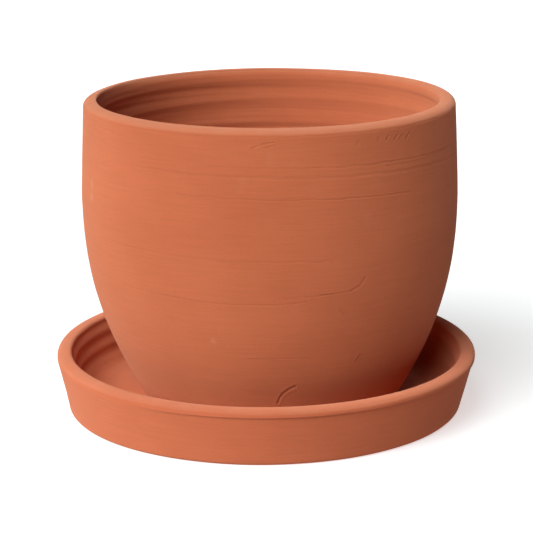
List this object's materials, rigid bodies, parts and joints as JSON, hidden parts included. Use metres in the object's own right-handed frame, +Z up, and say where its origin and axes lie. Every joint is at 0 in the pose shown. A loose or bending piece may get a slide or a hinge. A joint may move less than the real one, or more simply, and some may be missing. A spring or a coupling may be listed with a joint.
{
  "type": "terracotta pot with saucer",
  "caption": "Round-bellied unglazed terracotta plant pot with a drain hole, standing in its matching round saucer with a rolled rim.",
  "frame": {"origin": "middle of the saucer's flat underside, on the surface that the object stands on", "axes": "+Z up, along the saucer's axis and the way the pot lifts out; -Y towards the front, the side that the picture shows; +X to the right"},
  "size_m": [0.2484, 0.2484, 0.1843],
  "materials": {
    "saucer_terracotta": "matte",
    "pot_terracotta": "matte"
  },
  "bodies": {
    "saucer": {"saucer": "saucer_terracotta"},
    "pot": {"pot": "pot_terracotta"}
  },
  "joints": [
    {"name": "pot_lift", "type": "slide", "parent": "saucer", "child": "pot", "axis": [0, 0, 1], "range_m": [0, 0.05]}
  ]
}
